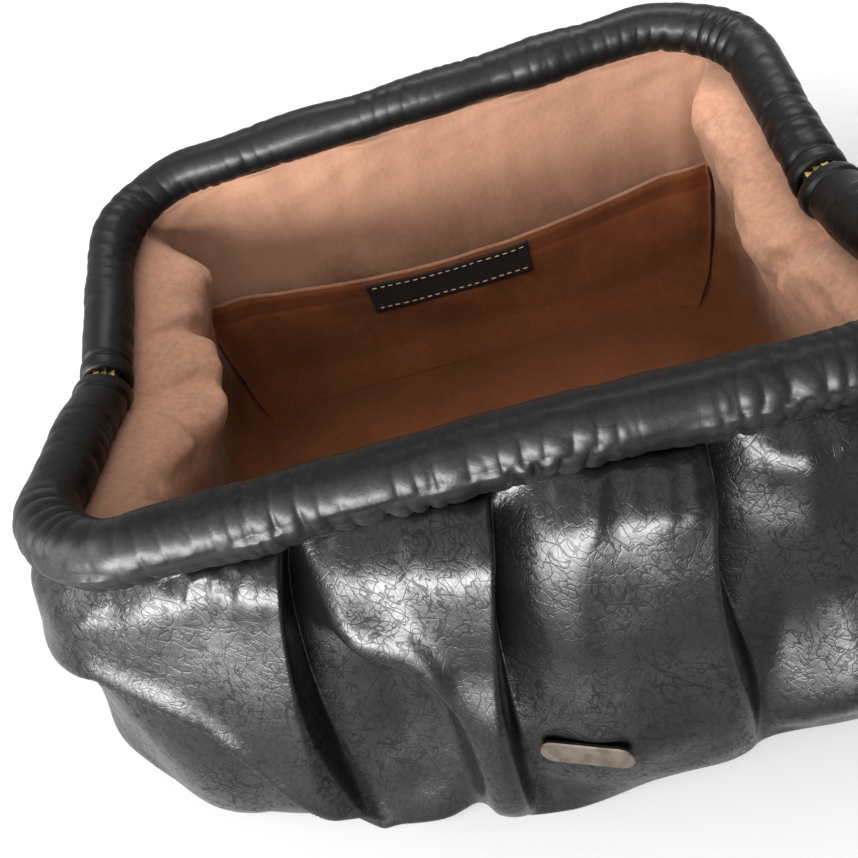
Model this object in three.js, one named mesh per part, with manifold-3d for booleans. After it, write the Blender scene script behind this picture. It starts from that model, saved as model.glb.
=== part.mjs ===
// A soft leather frame pouch, standing open on a table.
// Two U-shaped metal frame halves turn on knuckle hinges at the ends of the mouth.
// A padded, gathered leather sleeve covers each half, the pleated leather panels hang from the sleeves,
// and a suede lining with a slip pocket hangs inside.
// Millimetres, +Z up, the front towards -Y, the base resting on Z = 0.
import * as THREE from "three";
import { mergeVertices } from "three/addons/utils/BufferGeometryUtils.js";
import Module from "manifold-3d";

const wasm = await Module();
wasm.setup();

// Driving dimensions
const FRAME = { halfWidth: 130, arm: 101, cornerRadius: 39, hingeHeight: 98, barRadius: 4 };
const FRONT = { side: -1, tilt: 15 };
const BACK = { side: 1, tilt: 10.5 };
const SLEEVE = { radius: 10, boreRadius: 4.6, endGap: 2, sides: 10 };
const GATHERS = { count: 17, depth: 0.7, slant: 1.4 };
const SLEEVE_STEPS = { arm: 7, corner: 8, bar: 22 };
const BAR_STEPS = { arm: 1, corner: 6, bar: 1 };
const BAR_SIDES = 6;
const LEATHER = 1.5;
const SUEDE = 1.2;
const GAP = 0.4;

// The panel hangs from the sleeve's outer lower edge, the lining from its inner lower edge.
const PANEL_SEAM = { radius: 12.3, below: 68 };
const LINING_SEAM = { radius: 12, below: 74 };

// A panel's sections from seam to hem: outward swell under the bar, round the corners and under the arms,
// and share of the drop.
const PANEL_SECTIONS = [
  { at: "seam", bar: 0, corner: 0, arm: 0, drop: 0 },
  { at: "shoulder", bar: 13, corner: 13, arm: 12, drop: 0.1 },
  { at: "chest", bar: 24, corner: 20, arm: 20, drop: 0.29 },
  { at: "belly", bar: 34, corner: 24, arm: 26, drop: 0.52 },
  { at: "low", bar: 42, corner: 24, arm: 27, drop: 0.75 },
  { at: "heel", bar: 44, corner: 23, arm: 25, drop: 0.92 },
  { at: "foot", bar: 39, corner: 23, arm: 20, drop: 1 },
  { at: "hem", bar: 26, corner: 8, arm: 9, drop: 1 },
];
// The swell under the bar falls off by these shares towards the bar's ends.
const SWELL_FALL = { left: 0.2, right: 0.1 };
// The panels lean sideways as they drop, upright again between two places along the bar.
const LEAN = { shift: -17, from: 10, to: 60 };

// The pleats sewn in under each bar: a roll on one side of the fold line and a valley on the other.
// A pleat runs out at its reach, a share of the way down, and fills out early.
// Its fold line bows to one side, and its valley widens by its spread.
const PLEAT = { roll: 6, rollWidth: 21, rollShift: -13, valleyShift: 6, early: 0.65 };
const PLEATS = [
  { x: -55, bow: -8, valley: 13, width: 7, spread: 9, reach: 1.02 },
  { x: 1, bow: -9, valley: 12, width: 7, spread: 4, reach: 0.92 },
  { x: 56, bow: -6, valley: 13, width: 8, spread: 8, reach: 0.94 },
];
// The front panel's other folds: place along the loop from its middle, row, size both ways, depth and slant.
const FRONT_DENTS = [
  { at: "hollow under the swag", s: -33, row: 0.52, width: 15, height: 0.2, depth: 9, slant: 30 },
  { at: "cut-off lower left corner", s: -92, row: 0.8, width: 26, height: 0.22, depth: 9, slant: 40 },
  { at: "dip beside the last pleat", s: 82, row: 0.42, width: 15, height: 0.13, depth: 5, slant: -60 },
  { at: "low roll at the right", s: 92, row: 0.64, width: 26, height: 0.1, depth: -4, slant: -60 },
  { at: "heel at the left end", s: -138, row: 0.76, width: 18, height: 0.15, depth: -4.7, slant: 0 },
];
// Rows and columns of a panel: steps on each arm and corner, stations across a pleat and past the last.
const PANEL_GRID = { rows: 10, endSteps: 9, lastX: 84 };
const PLEAT_STATIONS = [-27, -18, -10, -4, 1, 6, 11, 18];

// The side walls tuck in under the hinges, and a slanting fold cuts off each lower corner.
const TUCK = { depth: 20, width: 30, at: 0.2, spread: 0.22 };
const CORNER_FOLD = { dent: 6, facing: 0.45, spread: 0.3, from: 0.5, to: 0.64, end: 0.86 };
// The base is the hem's outline drawn in by a share, straight along the sides between its first stations.
const BASE = { share: 0.985, steps: 20, first: 2 };

// The lining's sections from rim to floor: shrink of the loop both ways, share of the inward roll, and drop.
const LINING_SECTIONS = [
  { at: "rim", across: 0, along: 0, roll: 0, drop: 0 },
  { at: "lip", across: 0.005, along: 0.01, roll: 0.55, drop: 0.03 },
  { at: "crest", across: 0.01, along: 0.02, roll: 1, drop: 0.12 },
  { at: "under", across: 0.01, along: 0.02, roll: 0.8, drop: 0.28 },
  { at: "wall", across: 0.01, along: 0.04, roll: 0.4, drop: 0.5 },
  { at: "low", across: 0.02, along: 0.09, roll: 0.16, drop: 0.75 },
  { at: "bend", across: 0.06, along: 0.19, roll: 0.04, drop: 0.94 },
  { at: "floor", across: 0.14, along: 0.36, roll: 0, drop: 1 },
];
// Slack lining rolls inwards beside the arms, less towards the front and back corners.
const LINING_ROLL = { left: 31, right: 19, reach: 60, frontFall: 0.4, backFall: 0.15 };
const LINING_FLOOR = 3.6;

// The slip pocket covers the lining's back wall between whole steps of the lining's grid.
const LINING_GRID = { steps: 24, rows: 10 };
const POCKET_GRID = { columns: 14, rows: 4 };
const POCKET = {
  from: 5 / LINING_GRID.steps,
  to: 19 / LINING_GRID.steps,
  top: 0.56,
  sag: 0.06,
  bottom: 0.92,
  mouth: 9.5,
  ease: 1.5,
  seamGap: 1.2,
};
const LABEL_GRID = { columns: 6, rows: 1 };
const LABEL = { halfLength: 38, shift: -3, top: 0.02, bottom: 0.26, thickness: 0.8, standOff: 0.7 };

// Knuckles of each hinge along its pin, larger in the middle so that they fill the round sleeve.
const KNUCKLES = [
  { x: -5.2, radius: 6.4, half: FRONT },
  { x: -2.6, radius: 7.8, half: BACK },
  { x: 0, radius: 8.2, half: FRONT },
  { x: 2.6, radius: 7.8, half: BACK },
  { x: 5.2, radius: 6.4, half: FRONT },
];
const KNUCKLE_SIDES = 12;
const HINGE = {
  knuckleWidth: 2.2,
  pinRadius: 1.4,
  pinLength: 13.4,
  boreLength: 17.4,
  leafWidth: 12,
  leafHeight: 4,
  leafEnd: 16,
  barStart: 14,
  webHeight: 6,
};

// The blank ornament plate on the front panel: its size, and its place along the loop and down the rows.
const PLATE = { length: 28, height: 9, thickness: 1.6, bevel: 0.4, standOff: 2.4 };
const PLATE_PLACE = { s: 17, row: 0.52, step: 0.02 };

const LEATHER_LOOK = { color: 0x1b1c1e, roughness: 0.38, metalness: 0 };
const SUEDE_LOOK = { color: 0x8a5a3c, roughness: 0.95, metalness: 0 };
const BRASS_LOOK = { color: 0xd9b66a, roughness: 0.3, metalness: 1 };
const PLATE_LOOK = { color: 0xa8937b, roughness: 0.45, metalness: 1 };
const LABEL_LOOK = { color: 0x101010, roughness: 0.6, metalness: 0 };

const { degToRad, lerp, smoothstep } = THREE.MathUtils;
const bell = (distance, width) => Math.exp(-((distance / width) ** 2));

// Centreline of a frame half in its own plane: x along the mouth, y the reach from the hinge axis.
function halfPath(startReach) {
  const { halfWidth: w, arm, cornerRadius: r } = FRAME;
  const path = new THREE.Path();
  path.moveTo(-w, startReach);
  path.lineTo(-w, arm - r);
  path.absarc(-w + r, arm - r, r, Math.PI, Math.PI / 2, true);
  path.lineTo(w - r, arm);
  path.absarc(w - r, arm - r, r, Math.PI / 2, 0, true);
  path.lineTo(w, startReach);
  return path;
}

// A named column of a section table as a smooth curve over 0 to 1.
function column(sections, name) {
  const curve = new THREE.SplineCurve(sections.map((row, i) => new THREE.Vector2(i, row[name])));
  return (v) => curve.getPoint(v).y;
}

// Point on a half's centreline with its outward direction in plan, how squarely it faces front or back,
// and its distance along the loop from the middle.
const LOOP = halfPath(0);
const LOOP_LENGTH = LOOP.getLength();
function loopPoint(u) {
  const on = LOOP.getPoint(u);
  const along = LOOP.getTangent(u);
  const outward = new THREE.Vector2(-along.y, along.x);
  return { on, outward, facing: outward.y ** 2, s: (u - 0.5) * LOOP_LENGTH };
}
const loopShare = (s) => 0.5 + s / LOOP_LENGTH;

// Height of a half's centreline above the table at a reach from the hinge axis.
const railHeight = (half, reach) => FRAME.hingeHeight + reach * Math.sin(degToRad(half.tilt));
const planY = (half, reach) => half.side * reach * Math.cos(degToRad(half.tilt));

// Leather panel

const panelBar = column(PANEL_SECTIONS, "bar");
const panelCorner = column(PANEL_SECTIONS, "corner");
const panelArm = column(PANEL_SECTIONS, "arm");
const panelDrop = column(PANEL_SECTIONS, "drop");

// Outward fold of the pleats at a distance along the bar: rolls less valleys, fullest in the upper half.
function pleatFold(x, v) {
  const fold = (pleat) => {
    const down = Math.min(v / pleat.reach, 1);
    const fullness = Math.sin(Math.PI * down ** PLEAT.early);
    const past = x - pleat.x - pleat.bow * Math.sin(Math.PI * down);
    const roll = PLEAT.roll * bell(past - PLEAT.rollShift, PLEAT.rollWidth);
    const widened = pleat.spread * v;
    const valley = pleat.valley * bell(past - PLEAT.valleyShift - widened, pleat.width + widened);
    return fullness * (roll - valley);
  };
  return PLEATS.reduce((sum, pleat) => sum + fold(pleat), 0);
}

// Depth of the front panel's other folds.
function frontDents(s, v) {
  const dent = ({ row, width, height, depth, slant, s: place }) =>
    depth * bell(s - place - slant * (v - row), width) * bell(v - row, height);
  return FRONT_DENTS.reduce((sum, row) => sum + dent(row), 0);
}

// Inward fold of the side wall under the hinge, and of the lower corner under its slanting crease.
function sideFolds(on, facing, v) {
  const depth = TUCK.depth * bell(v - TUCK.at, TUCK.spread) * smoothstep(v, 0, TUCK.at);
  const tuck = depth * bell(on.y, TUCK.width) * (1 - facing);
  const below = smoothstep(v, CORNER_FOLD.from, CORNER_FOLD.to) * (1 - smoothstep(v, CORNER_FOLD.end, 1));
  const corner = CORNER_FOLD.dent * bell(facing - CORNER_FOLD.facing, CORNER_FOLD.spread) * below;
  return tuck + corner;
}

// Outward swell of the panel: arm, corner and bar sections blended by how squarely the loop faces front.
function panelSwell(on, facing, v) {
  const away = on.x / (FRAME.halfWidth - FRAME.cornerRadius);
  const fall = away < 0 ? SWELL_FALL.left : SWELL_FALL.right;
  const bar = panelBar(v) * (1 - fall * Math.min(away ** 2, 1));
  const turning = 1 - facing;
  return facing ** 2 * bar + 2 * facing * turning * panelCorner(v) + turning ** 2 * panelArm(v);
}

function panelPoint(half, u, v) {
  const { on, outward, facing, s } = loopPoint(u);
  const start = PANEL_SEAM.radius * Math.cos(degToRad(PANEL_SEAM.below));
  const dents = sideFolds(on, facing, v) + (half === FRONT ? frontDents(s, v) : 0);
  const swell = panelSwell(on, facing, v) + facing * pleatFold(on.x, v) - dents;
  const lean = facing * LEAN.shift * v * (1 - smoothstep(on.x, LEAN.from, LEAN.to));
  const top = railHeight(half, on.y) - PANEL_SEAM.radius * Math.sin(degToRad(PANEL_SEAM.below));
  const x = on.x + outward.x * (start + swell) + lean;
  const reach = Math.max(on.y + outward.y * (start + swell), GAP / 2);
  return new THREE.Vector3(x, planY(half, reach), Math.max(top * (1 - panelDrop(v)), 0));
}

// Shares of the loop at which a panel is sampled: even steps on arms and corners, pleat stations on the bar.
function panelStations() {
  const { endSteps, lastX } = PANEL_GRID;
  const barStart = loopShare(FRAME.cornerRadius - FRAME.halfWidth);
  const ends = Array.from({ length: endSteps + 1 }, (_, i) => (barStart * i) / endSteps);
  const pleats = PLEATS.flatMap((pleat) => PLEAT_STATIONS.map((offset) => loopShare(pleat.x + offset)));
  return [...ends, ...pleats, loopShare(lastX), ...ends.map((u) => 1 - u).reverse()];
}

// Lining, pocket and label

const liningAcross = column(LINING_SECTIONS, "across");
const liningAlong = column(LINING_SECTIONS, "along");
const liningRollShare = column(LINING_SECTIONS, "roll");
const liningDrop = column(LINING_SECTIONS, "drop");

// Size of the lining's roll beside an arm.
function liningRoll(half, on) {
  const size = on.x < 0 ? LINING_ROLL.left : LINING_ROLL.right;
  const fall = half === FRONT ? LINING_ROLL.frontFall : LINING_ROLL.backFall;
  return size * (1 - fall * smoothstep(on.y, 0, LINING_ROLL.reach));
}

function liningPoint(half, u, v) {
  const { on, outward, facing } = loopPoint(u);
  const start = LINING_SEAM.radius * Math.cos(degToRad(LINING_SEAM.below));
  const inward = start + liningRoll(half, on) * liningRollShare(v) * (1 - facing);
  const top = railHeight(half, on.y) - LINING_SEAM.radius * Math.sin(degToRad(LINING_SEAM.below));
  const x = (on.x - outward.x * inward) * (1 - liningAcross(v));
  const reach = (on.y - outward.y * inward) * (1 - liningAlong(v));
  return new THREE.Vector3(x, planY(half, reach), lerp(top, LINING_FLOOR, liningDrop(v)));
}

// How far the pocket stands off the lining at a share of its depth: sewn close at its sides and foot,
// slack at its mouth.
const pocketSlack = (u) => Math.sin((Math.PI * (u - POCKET.from)) / (POCKET.to - POCKET.from));
const pocketGap = (u, depth) => POCKET.seamGap + POCKET.mouth * pocketSlack(u) * (1 - depth) ** POCKET.ease;
// The lining's share of drop at a share of the pocket's depth; the pocket's top edge sags in the middle.
const pocketDrop = (u, depth) => lerp(POCKET.top + POCKET.sag * pocketSlack(u), POCKET.bottom, depth);

// Meshes from grids

function geometryFrom(vertices, triangles) {
  const geometry = new THREE.BufferGeometry();
  const coordinates = vertices.flatMap((p) => [p.x, p.y, p.z]);
  geometry.setAttribute("position", new THREE.Float32BufferAttribute(coordinates, 3));
  geometry.setIndex(triangles);
  return geometry;
}

// Unit normals of a grid of points, from the differences between neighbours.
function gridNormals(grid, around) {
  const rows = grid.length;
  const count = grid[0].length;
  return grid.map((row, j) =>
    row.map((_, i) => {
      const before = around ? row[(i + count - 1) % count] : row[Math.max(i - 1, 0)];
      const after = around ? row[(i + 1) % count] : row[Math.min(i + 1, count - 1)];
      const above = grid[Math.max(j - 1, 0)][i];
      const below = grid[Math.min(j + 1, rows - 1)][i];
      const across = after.clone().sub(before);
      const down = below.clone().sub(above);
      return across.cross(down).normalize();
    }),
  );
}

const offsetGrid = (grid, normals, distance) =>
  grid.map((row, j) => row.map((p, i) => p.clone().addScaledVector(normals[j][i], distance(i, j))));

// Two triangles for each cell of a grid of vertex numbers.
function gridFaces(number, rows, columns, flip) {
  const faces = [];
  for (let j = 0; j < rows; j++) {
    for (let i = 0; i < columns; i++) {
      const [a, b, c, d] = [number(i, j), number(i + 1, j), number(i + 1, j + 1), number(i, j + 1)];
      faces.push(...(flip ? [a, c, b, a, d, c] : [a, b, c, a, c, d]));
    }
  }
  return faces;
}

// A closed sheet between two offsets of a grid along its normals.
function sheetGeometry(grid, nearOffset, farOffset) {
  const normals = gridNormals(grid, false);
  const rows = grid.length;
  const columns = grid[0].length;
  const near = offsetGrid(grid, normals, nearOffset).flat();
  const far = offsetGrid(grid, normals, farOffset).flat();
  const total = rows * columns;
  const nearNumber = (i, j) => j * columns + i;
  const farNumber = (i, j) => total + j * columns + i;
  const faces = [
    ...gridFaces(farNumber, rows - 1, columns - 1, false),
    ...gridFaces(nearNumber, rows - 1, columns - 1, true),
  ];
  // The rim from one grid point to the next, along the near sheet and back along the far one.
  const rim = (i, j, nextI, nextJ) => {
    const [a, b] = [nearNumber(i, j), nearNumber(nextI, nextJ)];
    const [c, d] = [farNumber(nextI, nextJ), farNumber(i, j)];
    faces.push(a, b, c, a, c, d);
  };
  const [lastColumn, lastRow] = [columns - 1, rows - 1];
  for (let i = 0; i < lastColumn; i++) {
    rim(i, 0, i + 1, 0);
    rim(i + 1, lastRow, i, lastRow);
  }
  for (let j = 0; j < lastRow; j++) {
    rim(0, j + 1, 0, j);
    rim(lastColumn, j, lastColumn, j + 1);
  }
  return geometryFrom([...near, ...far], faces);
}

// A closed cup between two offsets of a ring-shaped grid: open at the first ring, floored at the last.
function cupGeometry(grid, thickness) {
  const normals = gridNormals(grid, true);
  const rows = grid.length;
  const count = grid[0].length;
  const inner = grid.flat();
  const outer = offsetGrid(grid, normals, () => -thickness).flat();
  const total = rows * count;
  const innerNumber = (i, j) => j * count + (i % count);
  const outerNumber = (i, j) => total + j * count + (i % count);
  const floor = new THREE.Vector3(0, 0, grid[rows - 1][0].z);
  const under = new THREE.Vector3(0, 0, floor.z - thickness);
  const [floorNumber, underNumber] = [2 * total, 2 * total + 1];
  const faces = [
    ...gridFaces(innerNumber, rows - 1, count, false),
    ...gridFaces(outerNumber, rows - 1, count, true),
  ];
  for (let i = 0; i < count; i++) {
    faces.push(innerNumber(i, 0), outerNumber(i + 1, 0), innerNumber(i + 1, 0));
    faces.push(innerNumber(i, 0), outerNumber(i, 0), outerNumber(i + 1, 0));
    faces.push(innerNumber(i, rows - 1), innerNumber(i + 1, rows - 1), floorNumber);
    faces.push(outerNumber(i + 1, rows - 1), outerNumber(i, rows - 1), underNumber);
  }
  return geometryFrom([...inner, ...outer, floor, under], faces);
}

// Rings of a half's path as points with directions: so many steps on each arm, corner and bar.
function railStations(startReach, steps) {
  const curves = halfPath(startReach).curves.filter((curve) => curve.getLength() > GAP);
  const counts = [steps.arm, steps.corner, steps.bar, steps.corner, steps.arm];
  const station = (curve, t) => ({ on: curve.getPoint(t), along: curve.getTangent(t) });
  const stations = curves.flatMap((curve, k) =>
    Array.from({ length: counts[k] }, (_, i) => station(curve, i / counts[k])),
  );
  return [...stations, station(curves[curves.length - 1], 1)];
}

// A round bar swept along a half's path in the half's own plane; its radius is a function of place and angle.
// Its two ends lean away from the hinge axis by a slope.
function sweptBar(stations, sides, radius, endSlope = 0) {
  const rings = stations.length - 1;
  const vertices = stations.flatMap(({ on, along }, j) =>
    Array.from({ length: sides }, (_, i) => {
      const angle = (2 * Math.PI * i) / sides;
      const size = radius(j / rings, angle);
      const out = size * Math.cos(angle);
      const rise = size * Math.sin(angle);
      const lean = j === 0 || j === rings ? rise * endSlope : 0;
      return new THREE.Vector3(on.x - along.y * out, on.y + along.x * out + lean, rise);
    }),
  );
  const ring = (i, j) => j * sides + (i % sides);
  const faces = gridFaces(ring, rings, sides, false);
  for (let i = 1; i < sides - 1; i++) {
    faces.push(ring(0, 0), ring(i + 1, 0), ring(i, 0));
    faces.push(ring(0, rings), ring(i, rings), ring(i + 1, rings));
  }
  return geometryFrom(vertices, faces);
}

// Joining and cutting

function solid(geometry) {
  const bare = new THREE.BufferGeometry().setAttribute("position", geometry.getAttribute("position"));
  if (geometry.index) bare.setIndex(geometry.index);
  const merged = mergeVertices(bare, 1e-4);
  return new wasm.Manifold(
    new wasm.Mesh({
      numProp: 3,
      vertProperties: new Float32Array(merged.attributes.position.array),
      triVerts: new Uint32Array(merged.index.array),
    }),
  );
}

function geometryOf(made) {
  const { vertProperties, triVerts } = made.getMesh();
  const geometry = new THREE.BufferGeometry();
  geometry.setAttribute("position", new THREE.BufferAttribute(vertProperties, 3));
  geometry.setIndex(new THREE.BufferAttribute(triVerts, 1));
  return geometry;
}

const box = (x, y, z, width, depth, height) =>
  solid(new THREE.BoxGeometry(width, depth, height).translate(x, y, z));
const alongX = (radius, length, x, sides) =>
  solid(new THREE.CylinderGeometry(radius, radius, length, sides).rotateZ(Math.PI / 2).translate(x, 0, 0));

// Frame halves, hinge pins and sleeves, in a half's own plane

const hingeEnds = [-1, 1].map((end) => end * FRAME.halfWidth);

// One half of the frame: the bent bar, a leaf at each end, and its share of the knuckles, bored for the pin.
function frameGeometry(half) {
  let made = solid(sweptBar(railStations(HINGE.barStart, BAR_STEPS), BAR_SIDES, () => FRAME.barRadius));
  const leafStart = Math.max(...KNUCKLES.map((k) => k.radius)) + GAP;
  for (const x of hingeEnds) {
    const leafMiddle = (leafStart + HINGE.leafEnd) / 2;
    made = made.add(box(x, leafMiddle, 0, HINGE.leafWidth, HINGE.leafEnd - leafStart, HINGE.leafHeight));
    for (const knuckle of KNUCKLES.filter((k) => k.half === half)) {
      made = made.add(alongX(knuckle.radius, HINGE.knuckleWidth, x + knuckle.x, KNUCKLE_SIDES));
      made = made.add(box(x + knuckle.x, leafMiddle / 2, 0, HINGE.knuckleWidth, leafMiddle, HINGE.webHeight));
    }
    made = made.subtract(alongX(HINGE.pinRadius + GAP, HINGE.boreLength, x, KNUCKLE_SIDES));
  }
  return geometryOf(made);
}

// The padded leather sleeve of one half: gathered outside, bored for the bar and hollowed for the hinges.
// Its ends stand upright on the bag, so that they face the other half's ends across an even gap.
function sleeveGeometry(half) {
  const gather = (u, angle) => {
    const upper = (1 + Math.sin(angle)) / 2;
    const wave = Math.sin(2 * Math.PI * GATHERS.count * u + GATHERS.slant * Math.cos(angle));
    return SLEEVE.radius + GATHERS.depth * upper * wave;
  };
  const endSlope = Math.tan(degToRad(half.tilt));
  let made = solid(sweptBar(railStations(SLEEVE.endGap, SLEEVE_STEPS), SLEEVE.sides, gather, endSlope));
  made = made.subtract(solid(sweptBar(railStations(0, BAR_STEPS), BAR_SIDES, () => SLEEVE.boreRadius)));
  for (const x of hingeEnds) {
    for (const knuckle of KNUCKLES) {
      const room = alongX(knuckle.radius + GAP, HINGE.knuckleWidth + 2 * GAP, x + knuckle.x, KNUCKLE_SIDES);
      made = made.subtract(room);
    }
    const reach = HINGE.leafEnd + GAP;
    made = made.subtract(box(x, reach / 2, 0, HINGE.pinLength + 2 * GAP, reach, HINGE.webHeight + 2 * GAP));
  }
  return geometryOf(made);
}

// Soft pieces

function panelGeometry(half) {
  const stations = panelStations();
  const { rows } = PANEL_GRID;
  const grid = Array.from({ length: rows + 1 }, (_, j) => stations.map((u) => panelPoint(half, u, j / rows)));
  const inwardGrid = half === FRONT ? grid : grid.map((row) => [...row].reverse());
  return sheetGeometry(inwardGrid, () => 0, () => LEATHER);
}

// The flat base lies inside the turned-under hems of the two panels.
function baseGeometry() {
  const { share, steps, first } = BASE;
  const stations = Array.from({ length: steps - 2 * first + 1 }, (_, i) => (i + first) / steps);
  const front = stations.map((u) => panelPoint(FRONT, u, 1));
  const back = stations.map((u) => panelPoint(BACK, 1 - u, 1));
  const inset = (p) => new THREE.Vector2(p.x * share, p.y * share);
  const outline = new THREE.Shape([...front, ...back].map(inset));
  return new THREE.ExtrudeGeometry(outline, { depth: LEATHER, bevelEnabled: false, steps: 1 });
}

function liningGeometry() {
  const { steps, rows } = LINING_GRID;
  const ring = (v) => [
    ...Array.from({ length: steps }, (_, i) => liningPoint(FRONT, i / steps, v)),
    ...Array.from({ length: steps }, (_, i) => liningPoint(BACK, 1 - i / steps, v)),
  ];
  return cupGeometry(Array.from({ length: rows + 1 }, (_, j) => ring(j / rows)), SUEDE);
}

// A sheet before the lining's back wall, between two shares of the loop and of the pocket's depth.
function pocketSheet(across, depths, grid, near, thickness) {
  const share = (i, j) => [
    lerp(across[1], across[0], i / grid.columns),
    lerp(depths[0], depths[1], j / grid.rows),
  ];
  const wall = Array.from({ length: grid.rows + 1 }, (_, j) =>
    Array.from({ length: grid.columns + 1 }, (_, i) => {
      const [u, depth] = share(i, j);
      return liningPoint(BACK, u, pocketDrop(u, depth));
    }),
  );
  const gap = (i, j) => near + pocketGap(...share(i, j));
  return sheetGeometry(wall, gap, (i, j) => gap(i, j) + thickness);
}

const pocketGeometry = () => pocketSheet([POCKET.from, POCKET.to], [0, 1], POCKET_GRID, 0, SUEDE);

function labelGeometry() {
  const across = [-1, 1].map((end) => loopShare(LABEL.shift + end * LABEL.halfLength));
  return pocketSheet(across, [LABEL.top, LABEL.bottom], LABEL_GRID, SUEDE + LABEL.standOff, LABEL.thickness);
}

function plateGeometry() {
  const straight = (PLATE.length - PLATE.height) / 2;
  const radius = PLATE.height / 2 - PLATE.bevel;
  const outline = new THREE.Shape();
  outline.absarc(straight, 0, radius, -Math.PI / 2, Math.PI / 2, false);
  outline.absarc(-straight, 0, radius, Math.PI / 2, (3 * Math.PI) / 2, false);
  outline.closePath();
  return new THREE.ExtrudeGeometry(outline, {
    depth: PLATE.thickness - 2 * PLATE.bevel,
    bevelThickness: PLATE.bevel,
    bevelSize: PLATE.bevel,
    bevelSegments: 1,
    curveSegments: 5,
  });
}

// Assembly

function piece(name, geometry, look) {
  const mesh = new THREE.Mesh(geometry, new THREE.MeshStandardMaterial(look));
  mesh.name = name;
  return mesh;
}

// A half's own plane, turned to its side of the bag and tilted up from the hinge axis.
function halfGroup(half) {
  const turned = new THREE.Group();
  turned.position.z = FRAME.hingeHeight;
  turned.rotation.z = half === FRONT ? Math.PI : 0;
  const tilted = new THREE.Group();
  tilted.rotation.x = degToRad(half.tilt);
  turned.add(tilted);
  return { turned, tilted };
}

const bag = new THREE.Group();

for (const [half, name] of [
  [FRONT, "front"],
  [BACK, "back"],
]) {
  const { turned, tilted } = halfGroup(half);
  tilted.add(piece("frame_" + name, frameGeometry(half), BRASS_LOOK));
  tilted.add(piece("sleeve_" + name, sleeveGeometry(half), LEATHER_LOOK));
  bag.add(turned);
  bag.add(piece("panel_" + name, panelGeometry(half), LEATHER_LOOK));
}

for (const [x, name] of [
  [hingeEnds[0], "left"],
  [hingeEnds[1], "right"],
]) {
  const pin = new THREE.CylinderGeometry(HINGE.pinRadius, HINGE.pinRadius, HINGE.pinLength, KNUCKLE_SIDES);
  const mesh = piece("hinge_pin_" + name, pin.rotateZ(Math.PI / 2), BRASS_LOOK);
  mesh.position.set(x, 0, FRAME.hingeHeight);
  bag.add(mesh);
}

bag.add(piece("base", baseGeometry(), LEATHER_LOOK));
bag.add(piece("lining", liningGeometry(), SUEDE_LOOK));
bag.add(piece("pocket", pocketGeometry(), SUEDE_LOOK));
bag.add(piece("label", labelGeometry(), LABEL_LOOK));

// The plate lies against the front panel, square to it at the plate's middle.
function plateMesh() {
  const { s, row, step } = PLATE_PLACE;
  const u = loopShare(s);
  const at = panelPoint(FRONT, u, row);
  const along = panelPoint(FRONT, u + step, row).sub(panelPoint(FRONT, u - step, row)).normalize();
  const up = panelPoint(FRONT, u, row - step).sub(panelPoint(FRONT, u, row + step)).normalize();
  const out = new THREE.Vector3().crossVectors(along, up).normalize();
  const mesh = piece("ornament_plate", plateGeometry(), PLATE_LOOK);
  const turn = new THREE.Matrix4().makeBasis(along, up.crossVectors(out, along), out);
  mesh.quaternion.setFromRotationMatrix(turn);
  mesh.position.copy(at).addScaledVector(out, PLATE.standOff);
  return mesh;
}
bag.add(plateMesh());

export default bag;
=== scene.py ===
"""Looks of a soft leather frame pouch that stands open: gathered rim, pleated panels, suede lining."""
import bpy
import numpy as np
from mathutils import Matrix


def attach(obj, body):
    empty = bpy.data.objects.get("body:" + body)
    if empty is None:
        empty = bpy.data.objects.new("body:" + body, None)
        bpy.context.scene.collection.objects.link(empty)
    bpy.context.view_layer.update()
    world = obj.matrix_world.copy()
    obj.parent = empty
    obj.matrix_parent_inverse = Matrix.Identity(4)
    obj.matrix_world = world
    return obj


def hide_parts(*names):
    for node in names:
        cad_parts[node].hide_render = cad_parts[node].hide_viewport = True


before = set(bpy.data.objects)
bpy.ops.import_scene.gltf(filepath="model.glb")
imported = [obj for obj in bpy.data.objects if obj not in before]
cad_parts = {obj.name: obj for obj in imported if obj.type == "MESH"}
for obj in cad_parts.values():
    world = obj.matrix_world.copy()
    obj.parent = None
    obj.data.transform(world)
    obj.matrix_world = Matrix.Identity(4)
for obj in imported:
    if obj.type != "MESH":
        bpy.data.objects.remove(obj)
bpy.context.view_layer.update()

# Driving sizes of the bag in millimetres, as in the frame
MM = 0.001
HALF_WIDTH, ARM_REACH, CORNER_RADIUS, HINGE_HEIGHT = 130.0, 101.0, 39.0, 98.0
LEATHER, SUEDE = 1.5, 1.2
ARM = ARM_REACH - CORNER_RADIUS
CORNER = np.pi * CORNER_RADIUS / 2
BAR = 2 * (HALF_WIDTH - CORNER_RADIUS)
LOOP = 2 * ARM + 2 * CORNER + BAR

# The two halves: side of the hinge axis, tilt, bow of the bar, fall of the lining's roll towards the corner,
# radius of the sleeve, depth of the lining's corner crease, and size of the sleeve's puckers
FRONT = {
    "side": -1.0, "tilt": np.radians(15.0), "bow": 2.2, "roll_fall": 0.4,
    "sleeve": 9.6, "groove": 0.0, "puckers": 0.3,
}
BACK = {
    "side": 1.0, "tilt": np.radians(10.5), "bow": 0.6, "roll_fall": 0.15,
    "sleeve": 9.0, "groove": 7.0, "puckers": 0.4,
}
BOW_WIDTH = 75.0

# Where the panel and the lining are sewn under the sleeve: radius and angle below the outward direction
PANEL_SEAM = {"radius": 9.4, "below": np.radians(64)}
LINING_SEAM = {"radius": 9.0, "below": np.radians(60)}

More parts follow.
